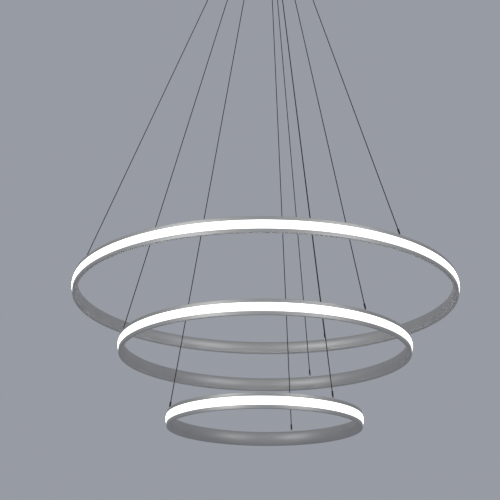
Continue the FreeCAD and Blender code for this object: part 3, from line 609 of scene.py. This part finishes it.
def finish_for(slot):
    """The finish of a record slot, made when it is first asked for."""
    name = slot.replace("_", " ").capitalize() + " finish"
    finish = bpy.data.materials.get(name)
    if finish:
        return finish
    finish, tree, shader = new_finish(name)
    colours = bpy.context.scene.finish_colours
    if slot in PAINTS:
        PAINTS[slot](tree, shader, colours)
    else:
        colour, *values = GRAINED[slot]
        colour = getattr(colours, colour) if isinstance(colour, str) else colour
        paint_grained(tree, shader, colour, *values)
        if slot == "canopy_paint":
            shader.inputs["Coat Weight"].default_value = 0.1
    return finish


def dress(mesh, slot):
    """Gives every material slot of a mesh the finish of a record slot."""
    for index in range(len(mesh.materials)):
        mesh.materials[index] = finish_for(slot)
    if not mesh.materials:
        mesh.materials.append(finish_for(slot))


def finished(name, mesh, smooth, slot, body, *replaced):
    """A piece that is smooth up to an angle in degrees, painted from its slot, rides on its
    body and replaces its CAD nodes."""
    mesh.polygons.foreach_set("use_smooth", [True] * len(mesh.polygons))
    mesh.set_sharp_from_angle(angle=math.radians(smooth))
    dress(mesh, slot)
    made = linked(name, mesh)
    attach(made, body)
    if replaced:
        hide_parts(*replaced)
    return made


def on_ring(tier, name, mesh, half, smooth, slot, *replaced):
    """A finished piece of a ring, with its Round map over half its height each way."""
    ring_map(mesh, ring_middle(tier), half)
    finished(name, mesh, smooth, slot, ring_body(tier), *replaced)


# ---------------------------------------------------------------- rings

def channel_outline(ring):
    """The channel's closed outline: x outward from the lip face, y up."""
    half, room = ring.section_height / 2, ring.section_height / 2 - ring.wall
    mouth, lip = ring.mouth_height / 2, ring.lip_thickness
    rise = half - ring.corner_radius
    reach = ring.crown_radius - ring.corner_radius
    run = math.sqrt(reach ** 2 - rise ** 2)
    flat_end = run - ring.crown_radius + ring.section_depth
    centre = ring.section_depth - ring.crown_radius
    meet = math.atan2(rise, run)
    quarter = math.pi / 2
    back = [(flat_end, half)]
    back += arc((flat_end, rise), ring.corner_radius, quarter, meet, 8)
    back += [(centre + ring.crown_radius * math.cos(angle),
              ring.crown_radius * math.sin(angle))
             for angle in (meet - 2 * meet * step / 14 for step in range(15))]
    back += arc((flat_end, -rise), ring.corner_radius, -meet, -quarter, 8)
    back += [(flat_end, -half)]
    corners = back + [
        (0, -half, ring.lip_edge), (0, -mouth, ring.mouth_edge),
        (lip, -mouth, ring.mouth_edge), (lip, -room), (ring.shelf_depth, -room),
        (ring.land_depth, -ring.land_height / 2), (ring.land_depth, ring.land_height / 2),
        (ring.shelf_depth, room), (lip, room), (lip, mouth, ring.mouth_edge),
        (0, mouth, ring.mouth_edge), (0, half, ring.lip_edge)]
    return [(-depth, height) for depth, height in rounded(corners)]


def diffuser_outline(ring):
    """The diffuser's closed outline: a crowned face hooked behind both lips."""
    half = ring.mouth_height / 2 - ring.diffuser_gap
    inner = half - ring.diffuser_wall
    rise = ring.proud - ring.edge_proud
    crown = rise / 2 + half ** 2 / (2 * rise)
    spread = math.asin(half / crown)
    face = [(-ring.proud + crown - crown * math.cos(angle), crown * math.sin(angle))
            for angle in (spread - 2 * spread * step / 16 for step in range(17))]
    start = ring.lip_thickness + ring.diffuser_gap
    end = start + ring.hook_thickness
    hook = half + ring.hook_height
    wall = ring.diffuser_wall - ring.edge_proud
    soft = ring.mouth_edge
    corners = [(*face[0], soft)] + face[1:-1] + [(*face[-1], soft)]
    corners += [(start, -half), (start, -hook, soft), (end, -hook, soft), (end, -inner),
                (wall, -inner, soft), (wall, inner, soft), (end, inner), (end, hook, soft),
                (start, hook, soft), (start, half)]
    return [(-depth, height) for depth, height in rounded(corners, 3)]


def swept_ring(name, outline, tier, slot, tree):
    """A mesh of an outline swept round a ring."""
    ring = ring_sizes()
    mesh = run_tree(name, outline_mesh(name + " outline", outline), tree, {
        "Radius": crown_radius_of(tier) - ring.proud, "Height": ring_middle(tier),
        "Steps": ring.segments, "Finish": finish_for(slot)})
    return outward(mesh)


def stepped_pin(radius, head_radius, low, seat, high):
    """A closed cutter with a shank and a wider head."""
    return lathe("pin", [(0, low), (radius, low), (radius, seat), (head_radius, seat),
                         (head_radius, high), (0, high)])


def cut(mesh, cutter_mesh):
    """The mesh with the cutter's solids taken out of it."""
    target, cutter = linked("Cut", mesh), linked("Cutter", cutter_mesh)
    modifier = target.modifiers.new("Holes", "BOOLEAN")
    modifier.operation, modifier.solver = "DIFFERENCE", "EXACT"
    modifier.object = cutter
    result = plain_mesh(mesh.name, target)
    bpy.data.objects.remove(cutter)
    bpy.data.meshes.remove(cutter_mesh)
    return result


# how far a cutter stands out of the face it cuts
CUT_OVER = 0.002


class CHANDELIER_OT_channels(bpy.types.Operator):
    """Make the three aluminium channels"""
    bl_idname = "chandelier.channels"
    bl_label = "Channels"

    def execute(self, context):
        ring, hanging = ring_sizes(), hanging_sizes()
        tree, copies = sweep_tree(), copies_tree()
        for tier in TIERS:
            name = tier + "_ring_channel"
            mesh = swept_ring(name, channel_outline(ring), tier, "ring_aluminium", tree)
            pin = stepped_pin(hanging.terminal_hole / 2, hanging.terminal_sink / 2,
                              ring.section_height / 3, hanging.terminal_seat,
                              ring.section_height / 2 + CUT_OVER)
            pins = three_round("pins", pin, copies, tier, lug_radius(tier),
                               ring_middle(tier), "ring_aluminium")
            on_ring(tier, name, cut(mesh, pins), ring.section_height / 2, 28,
                    "ring_aluminium", tier + "_channel")
        return {"FINISHED"}


class CHANDELIER_OT_diffusers(bpy.types.Operator):
    """Make the three lit opal diffusers"""
    bl_idname = "chandelier.diffusers"
    bl_label = "Diffusers"

    def execute(self, context):
        ring = ring_sizes()
        tree = sweep_tree()
        for tier in TIERS:
            name = tier + "_ring_diffuser"
            mesh = swept_ring(name, diffuser_outline(ring), tier, "lit_opal", tree)
            on_ring(tier, name, mesh, ring.mouth_height / 2, 35, "lit_opal",
                    tier + "_diffuser")
        return {"FINISHED"}


# an LED chip: its size, the rim and depth of its window, and the board's face to its middle
CHIP_SIZE, CHIP_RIM, CHIP_WINDOW, CHIP_OUT = (0.0035, 0.0009, 0.0028), 0.0004, 0.0002, 0.0004


def chip_mesh():
    """One LED chip, its lens looking along -Y: a small box with a sunk window."""
    shape = bmesh.new()
    bmesh.ops.create_cube(shape, size=1)
    bmesh.ops.scale(shape, vec=CHIP_SIZE, verts=shape.verts)
    front = min(shape.faces, key=lambda face: face.calc_center_median().y)
    bmesh.ops.inset_region(shape, faces=[front], thickness=CHIP_RIM, depth=-CHIP_WINDOW)
    return mesh_of("chip", shape)


class CHANDELIER_OT_led_strips(bpy.types.Operator):
    """Make the LED boards and their chips"""
    bl_idname = "chandelier.led_strips"
    bl_label = "LED strips"

    def execute(self, context):
        ring = ring_sizes()
        sweep, copies = sweep_tree(), copies_tree()
        back = ring.land_depth - ring.glue_gap
        front, half = back - ring.strip_thickness, ring.strip_width / 2
        outline = [(-front, half), (-back, half), (-back, -half), (-front, -half)]
        for tier in TIERS:
            name = tier + "_ring_led_board"
            mesh = swept_ring(name, outline, tier, "circuit_board", sweep)
            on_ring(tier, name, mesh, half, 40, "circuit_board", tier + "_led_strip")
            name = tier + "_ring_led_chips"
            radius = crown_radius_of(tier) - ring.proud - front + CHIP_OUT
            chips = run_tree(name, chip_mesh(), copies, {
                "Count": round(2 * math.pi * radius / ring.chip_pitch), "Radius": radius,
                "First azimuth": 0.0, "Height": ring_middle(tier),
                "Finish": finish_for("lit_opal")})
            on_ring(tier, name, chips, half, 40, "lit_opal")
        return {"FINISHED"}


# ---------------------------------------------------------------- terminals and cables

def azimuth_of(tier):
    return getattr(hanging_sizes(), tier + "_azimuth")


def grip_radius(tier):
    return getattr(hanging_sizes(), tier + "_grip")


def lug_radius(tier):
    return crown_radius_of(tier) - ring_sizes().proud - hanging_sizes().terminal_depth


def cable_line(tier, index):
    """The lug, where a cable starts to slant, and its upper end in its grip."""
    hanging = hanging_sizes()
    azimuth = azimuth_of(tier) + (index - 1) * THIRD
    lug = polar(lug_radius(tier), azimuth,
                ring_middle(tier) + hanging.terminal_seat + hanging.terminal_height)
    return lug, polar(grip_radius(tier), azimuth, -hanging.throat_drop)


def knurl(low, high, count, depth):
    """A radius rule with ridges between two heights."""
    def shape_at(radius, height, angle):
        if radius and low <= height <= high:
            return radius - depth * (0.5 + 0.5 * math.cos(count * angle))
        return radius
    return shape_at


class CHANDELIER_OT_terminals(bpy.types.Operator):
    """Make the turned terminals on the rings"""
    bl_idname = "chandelier.terminals"
    bl_label = "Terminals"

    def execute(self, context):
        hanging = hanging_sizes()
        tree = copies_tree()
        head, tall = hanging.terminal_head / 2, hanging.terminal_height
        for tier in TIERS:
            name = tier + "_ring_terminals"
            turned = lathe("terminal", [
                (0.0012, -0.0030), (0.0016, -0.0030), (0.0018, -0.0028), (0.0018, 0),
                (head, 0), (head, 0.0013), (head - 0.0001, 0.00135),
                (head - 0.0001, 0.00155), (head, 0.0016), (head, 0.0021),
                (head - 0.0002, 0.00245), (head - 0.0009, tall), (0.0016, tall),
                (0.0012, tall - 0.0012)], 40)
            mesh = three_round(name, turned, tree, tier, lug_radius(tier),
                               ring_middle(tier) + hanging.terminal_seat, "nickel")
            finished(name, mesh, 30, "nickel", ring_body(tier), tier + "_terminals")
        return {"FINISHED"}


# places along a ferrule with the share of its radius there, which of them the jaws press,
# and the number of jaws
CRIMPS = [(0, 0.72), (0.03, 0.9), (0.07, 1), (0.16, 1), (0.22, 0.88), (0.40, 0.88),
          (0.46, 1), (0.54, 1), (0.60, 0.88), (0.78, 0.88), (0.84, 1), (0.93, 1),
          (0.97, 0.9), (1, 0.72)]
PRESSED, JAWS = (0.22, 0.40, 0.60, 0.78), 6


def crimped_ferrule(neck, slope, hanging):
    """A ferrule along the slope with two pressed bands and rounded ends."""
    radius, steps = hanging.ferrule / 2, 4 * JAWS
    side = slope.orthogonal().normalized()
    up = slope.cross(side)
    rings = []
    for place, width in CRIMPS:
        ring = []
        for step in range(steps):
            angle = 2 * math.pi * step / steps
            flat = 1 - (1 - width) * 0.5 * (1 + math.cos(JAWS * angle))
            wide = radius * (flat if place in PRESSED else width)
            ring.append(neck + slope * hanging.ferrule_length * place
                        + (side * math.cos(angle) + up * math.sin(angle)) * wide)
        rings.append(ring)
    return grid_mesh("ferrule", rings)


class CHANDELIER_OT_cable_ends(bpy.types.Operator):
    """Make the crimped cable ends"""
    bl_idname = "chandelier.cable_ends"
    bl_label = "Cable ends"

    def execute(self, context):
        hanging = hanging_sizes()
        bend, overlap, root, steps = 0.0012, 0.001, 0.003, 4
        drop = Vector((0, 0, -hanging.terminal_height - root))
        for tier in TIERS:
            ferrules, stubs = [], []
            for index in CABLES:
                lug, top = cable_line(tier, index)
                slope = (top - lug).normalized()
                neck = lug + slope * hanging.stub
                low, high = lug - Vector((0, 0, bend)), lug + slope * bend
                curve = [low.lerp(lug, step / steps).lerp(
                    lug.lerp(high, step / steps), step / steps)
                    for step in range(steps + 1)]
                stubs.append(tube("stub", [lug + drop] + curve + [neck + slope * overlap],
                                  hanging.cable / 2))
                ferrules.append(crimped_ferrule(neck, slope, hanging))
            for word, sources, smooth, slot, replaced in (
                    ("ferrules", ferrules, 30, "dark_steel", [tier + "_cable_ends"]),
                    ("cable_stubs", stubs, 50, "steel_cable", [])):
                name = "%s_ring_%s" % (tier, word)
                finished(name, joined(name, sources), smooth, slot, ring_body(tier),
                         *replaced)
        return {"FINISHED"}


def rope(name, low, high, diameter, lay):
    """A six-strand cable between two points, with level ends."""
    run = high - low
    sides, strands, groove, steps = 18, 6, 0.07, int(run.length / lay * 8)
    rings = []
    for step in range(steps + 1):
        along = step / steps
        turn = 2 * math.pi * run.length * along / lay
        ring = []
        for side in range(sides):
            angle = 2 * math.pi * side / sides
            radius = diameter / 2 * (1 - groove + groove * math.cos(strands * angle))
            ring.append(low + run * along + Vector((
                radius * math.cos(angle + turn), radius * math.sin(angle + turn), 0)))
        rings.append(ring)
    return grid_mesh(name, rings)


class CHANDELIER_OT_cables(bpy.types.Operator):
    """Make the nine suspension cables"""
    bl_idname = "chandelier.cables"
    bl_label = "Cables"

    def execute(self, context):
        hanging = hanging_sizes()
        for tier in TIERS:
            for index in CABLES:
                lug, top = cable_line(tier, index)
                slope = (top - lug).normalized()
                low = lug + slope * (hanging.stub + hanging.ferrule_length
                                     + hanging.cable_gap)
                name = "%s_suspension_cable_%d" % (tier, index)
                mesh = rope(name, low, top, hanging.cable, hanging.cable_lay)
                made = finished(name, mesh, 60, "steel_cable", "canopy",
                                "%s_cable_%d" % (tier, index))
                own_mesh(made)
        return {"FINISHED"}


# ---------------------------------------------------------------- grips

def helix(name, low, high, radius, wire, turns):
    """A closed-end compression spring about Z."""
    count = turns * 20
    points = []
    for step in range(count + 1):
        angle = 2 * math.pi * turns * step / count
        height = low + wire / 2 + (high - low - wire) * step / count
        points.append((radius * math.cos(angle), radius * math.sin(angle), height))
    return tube(name, points, wire / 2, 8)


# a grip's spring, the hole for its cable and the height of its plunger's collar
SPRING_GAP, SPRING_RADIUS, SPRING_WIRE, SPRING_TURNS = 0.00005, 0.00405, 0.0006, 10
BORE, COLLAR = 0.0014, -0.06335

# radius and height of the sleeve that is pushed up to let a cable go
PUSH_SLEEVE = [(BORE, -0.067), (0.0032, -0.070), (0.0033, -0.070), (0.0035, -0.0698),
               (0.0035, -0.0690), (0.0034, -0.0689), (0.0034, -0.0687), (0.0035, -0.0686),
               (0.0035, COLLAR), (0.0042, COLLAR), (0.0042, COLLAR + 0.002),
               (BORE, COLLAR + 0.002)]


def grip_barrel():
    """A grip's barrel: ringed thread, flange, knurled body and lip."""
    profile = [(BORE, -0.0525), (BORE, -0.0365), (0.0044, -0.0365), (0.0050, -0.0370)]
    for step in range(11):
        top = -0.0370 - step * 0.001
        profile += [(0.0050, top - 0.0003), (0.00455, top - 0.0005), (0.0050, top - 0.0007)]
    profile += [(0.0050, -0.0500), (0.0071, -0.0500), (0.0075, -0.0504), (0.0075, -0.0521),
                (0.0071, -0.0525), (0.0060, -0.0525), (0.0060, -0.0540), (0.0058, -0.0543),
                (0.0058, -0.0547), (0.0060, -0.0550), (0.0060, -0.0610), (0.0058, -0.0613),
                (0.0058, -0.0617), (0.0060, -0.0620), (0.0060, -0.0650), (0.0055, -0.0655),
                (0.00365, -0.0655), (0.00365, -0.0635), (0.0045, -0.0635),
                (0.0045, -0.0525)]
    return lathe("barrel", profile, 72, knurl(-0.0611, -0.0549, 36, 0.00025))


def hex_nut():
    """A lock nut with its corners chamfered."""
    corner, low, high = 0.0075, -0.0485, -0.0450
    flat = corner * math.cos(math.pi / 6)

    def shape_at(radius, height, angle):
        if radius < 0.0055:
            return radius
        turn = (angle % (math.pi / 3)) - math.pi / 6
        return min(flat / math.cos(turn), radius)
    return lathe("nut", [(0.00505, low), (0.0066, low), (0.0075, low + 0.0004),
                         (0.0075, high - 0.0004), (0.0066, high), (0.00505, high)], 48,
                 shape_at)


class CHANDELIER_OT_grips(bpy.types.Operator):
    """Make the nine cable grips with their plungers and springs"""
    bl_idname = "chandelier.grips"
    bl_label = "Cable grips"

    def execute(self, context):
        tree = copies_tree()
        for word, source in (("barrels", grip_barrel), ("nuts", hex_nut)):
            name = "cable_grip_" + word
            sets = [three_round(tier + word, source(), tree, tier, grip_radius(tier), 0.0,
                                "nickel") for tier in TIERS]
            finished(name, joined(name, sets), 32, "nickel", "canopy", "grip_" + word)
        for tier in TIERS:
            for index in CABLES:
                self.inner_parts(tier, index)
        return {"FINISHED"}

    def inner_parts(self, tier, index):
        """The plunger and the spring of one grip."""
        hanging = hanging_sizes()
        place = Matrix.Translation(
            polar(grip_radius(tier), azimuth_of(tier) + (index - 1) * THIRD, 0))
        tag = "%s_grip_%%s_%d" % (tier, index)
        sleeve = lathe(tag % "push_sleeve", PUSH_SLEEVE, 40)
        sleeve.transform(place)
        finished(sleeve.name, sleeve, 32, "nickel", "%s_plunger_%d" % (tier, index),
                 tag % "plunger")
        spring = helix(tag % "coil", -hanging.chamber_drop - hanging.spring_free,
                       -hanging.chamber_drop - SPRING_GAP, SPRING_RADIUS, SPRING_WIRE,
                       SPRING_TURNS)
        spring.transform(place)
        coil = finished(spring.name, spring, 60, "spring_steel", "canopy", tag % "spring")
        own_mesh(coil)


# ---------------------------------------------------------------- canopy

class CHANDELIER_OT_side_screws(bpy.types.Operator):
    """Make the knurled screws at the canopy's side"""
    bl_idname = "chandelier.side_screws"
    bl_label = "Side screws"

    def execute(self, context):
        screw = lathe("side screw", [
            (0, -0.009), (0.0016, -0.009), (0.002, -0.0086), (0.002, 0), (0.0043, 0),
            (0.0045, 0.0003), (0.0045, 0.0036), (0.0043, 0.0040), (0.0038, 0.0046),
            (0.0028, 0.0050), (0, 0.0050)], 72, knurl(0.0002, 0.0037, 24, 0.00022))
        screw.transform(Matrix.Rotation(math.pi / 2, 4, "X"))
        name = "canopy_side_screws"
        screws = run_tree(name, screw, copies_tree(), {
            "Count": 3, "Radius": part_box("canopy_cover")[1].x, "First azimuth": 0.0,
            "Height": -hanging_sizes().side_screw_drop, "Finish": finish_for("nickel")})
        finished(name, screws, 32, "nickel", "canopy", "cover_screws")
        return {"FINISHED"}


# the CAD nodes that are shown as they were packed
SLOT_OF_NODE = {
    "canopy_cover": "canopy_paint", "mounting_plate": "zinc_plate",
    "cable_grommet": "black_rubber", "cable_tails": "steel_cable",
    "led_driver": "driver_case", "driver_screws": "zinc_plate",
    "mains_terminal": "terminal_nylon", "terminal_screws": "brass_screw",
    "earth_screw": "brass_screw", "mains_leads": "lead_insulation",
    "output_terminal": "terminal_nylon", "output_leads": "lead_insulation",
    "upper_feed_leads": "lead_insulation", "middle_feed_leads": "lead_insulation",
    "lower_feed_leads": "lead_insulation",
}


class CHANDELIER_OT_fittings(bpy.types.Operator):
    """Paint the pieces that are shown as they were packed"""
    bl_idname = "chandelier.fittings"
    bl_label = "Fittings"

    def execute(self, context):
        for name, slot in SLOT_OF_NODE.items():
            dress(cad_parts[name].data, slot)
        return {"FINISHED"}


# ---------------------------------------------------------------- stage

LAMP_PLACE, LAMP_TARGET, LAMP_SIDE = (2.1, -2.5, -0.15), (0, 0, -0.95), 1.3
FLOOR_SIDE = 40


def soft_lamp(name, side, power):
    """A square lamp in front of the rings, on the left (-1) or on the right (1)."""
    data = bpy.data.lights.new(name, "AREA")
    data.shape, data.size, data.energy = "SQUARE", LAMP_SIDE, power
    lamp = linked(name, data)
    lamp.location = (side * LAMP_PLACE[0], *LAMP_PLACE[1:])
    lamp.rotation_euler = (Vector(LAMP_TARGET) - lamp.location).to_track_quat(
        "-Z", "Y").to_euler()


def seen_rays(tree, strength):
    """The strength for camera, glossy and transmission rays, and 0 for all others."""
    ray = add_node(tree, "ShaderNodeLightPath").outputs
    direct = calc(tree, "MAXIMUM", ray["Is Camera Ray"], ray["Is Glossy Ray"])
    seen = calc(tree, "MAXIMUM", direct, ray["Is Transmission Ray"])
    return calc(tree, "MULTIPLY", seen, strength)


class CHANDELIER_OT_stage(bpy.types.Operator):
    """Set up the camera, the lamps, the world and the floor"""
    bl_idname = "chandelier.stage"
    bl_label = "Stage"

    def execute(self, context):
        scene = context.scene
        stage, backdrop = scene.stage_values, scene.finish_colours.backdrop
        scene.view_settings.view_transform = "Standard"
        self.camera(scene, stage)
        self.world(scene, backdrop, stage.world)
        self.floor(backdrop, stage)
        soft_lamp("Key", -1, stage.key)
        soft_lamp("Fill", 1, stage.fill)
        return {"FINISHED"}

    def camera(self, scene, stage):
        forward = Vector((math.sin(stage.yaw) * math.cos(stage.pitch),
                          math.cos(stage.yaw) * math.cos(stage.pitch),
                          math.sin(stage.pitch)))
        level = Vector((math.cos(stage.yaw), -math.sin(stage.yaw), 0))
        upright = level.cross(forward)
        right = level * math.cos(stage.roll) - upright * math.sin(stage.roll)
        up = level * math.sin(stage.roll) + upright * math.cos(stage.roll)
        data = bpy.data.cameras.new("Camera")
        data.sensor_width, data.lens = 36, stage.lens
        scene.camera = linked("Camera", data)
        turn = Matrix((right, up, -forward)).transposed().to_4x4()
        scene.camera.matrix_world = Matrix.Translation(Vector(stage.eye)) @ turn

    def world(self, scene, backdrop, strength):
        """Even light, which shows as the backdrop's colour where it is seen."""
        world = bpy.data.worlds.new("Studio")
        world.use_nodes = True
        tree = world.node_tree
        tree.nodes.clear()
        light, wall = (
            add_node(tree, "ShaderNodeBackground", {"Color": (*colour, 1),
                                                    "Strength": power}).outputs[0]
            for colour, power in (((1, 1, 1), strength), (backdrop, 1.0)))
        mixed = add_node(tree, "ShaderNodeMixShader", {0: seen_rays(tree, 1.0), 1: light,
                                                       2: wall})
        add_node(tree, "ShaderNodeOutputWorld", {"Surface": mixed.outputs[0]})
        scene.world = world

    def floor(self, backdrop, stage):
        """A wide floor that shows nearly as pale as the backdrop."""
        mesh = bpy.data.meshes.new("Floor")
        mesh.from_pydata([(x * FLOOR_SIDE, y * FLOOR_SIDE, -stage.floor)
                          for x, y in ((-1, -1), (1, -1), (1, 1), (-1, 1))], [],
                         [(0, 1, 2, 3)])
        material, tree, shader = new_finish("Floor finish")
        coloured(tree, shader, noise(tree, object_place(tree), 0.8),
                 scaled(backdrop, stage.floor_tone - 0.05),
                 scaled(backdrop, stage.floor_tone + 0.05))
        shader.inputs["Roughness"].default_value = 0.9
        shader.inputs["Specular IOR Level"].default_value = 0.0
        shader.inputs["Emission Color"].default_value = (*backdrop, 1)
        tree.links.new(seen_rays(tree, stage.floor_glow), shader.inputs["Emission Strength"])
        mesh.materials.append(material)
        linked("Floor", mesh)


# ---------------------------------------------------------------- add-on

class CHANDELIER_PT_panel(bpy.types.Panel):
    """Settings of the chandelier and a button for each group of pieces"""
    bl_idname = "CHANDELIER_PT_panel"
    bl_label = "Chandelier"
    bl_space_type = "VIEW_3D"
    bl_region_type = "UI"
    bl_category = "Chandelier"

    def draw(self, context):
        for operator in OPERATORS:
            self.layout.operator(operator.bl_idname)
        for group in (getattr(context.scene, name) for name in GROUPS):
            box = self.layout.box()
            for name in group.__annotations__:
                box.prop(group, name)


GROUPS = {"ring_sizes": RingSettings, "hanging_sizes": HangingSettings,
          "finish_colours": FinishSettings, "stage_values": StageSettings}
OPERATORS = (CHANDELIER_OT_stage, CHANDELIER_OT_channels, CHANDELIER_OT_diffusers,
             CHANDELIER_OT_led_strips, CHANDELIER_OT_terminals, CHANDELIER_OT_cable_ends,
             CHANDELIER_OT_cables, CHANDELIER_OT_grips, CHANDELIER_OT_side_screws,
             CHANDELIER_OT_fittings)


def register():
    for kind in (*GROUPS.values(), *OPERATORS, CHANDELIER_PT_panel):
        bpy.utils.register_class(kind)
    for name, kind in GROUPS.items():
        setattr(bpy.types.Scene, name, PointerProperty(type=kind))


def unregister():
    for name in GROUPS:
        delattr(bpy.types.Scene, name)
    for kind in reversed((*GROUPS.values(), *OPERATORS, CHANDELIER_PT_panel)):
        bpy.utils.unregister_class(kind)


def main():
    register()
    bpy.ops.chandelier.stage()
    bpy.ops.chandelier.channels()
    bpy.ops.chandelier.diffusers()
    bpy.ops.chandelier.led_strips()
    bpy.ops.chandelier.terminals()
    bpy.ops.chandelier.cable_ends()
    bpy.ops.chandelier.cables()
    bpy.ops.chandelier.grips()
    bpy.ops.chandelier.side_screws()
    bpy.ops.chandelier.fittings()


if __name__ == "__main__":
    main()
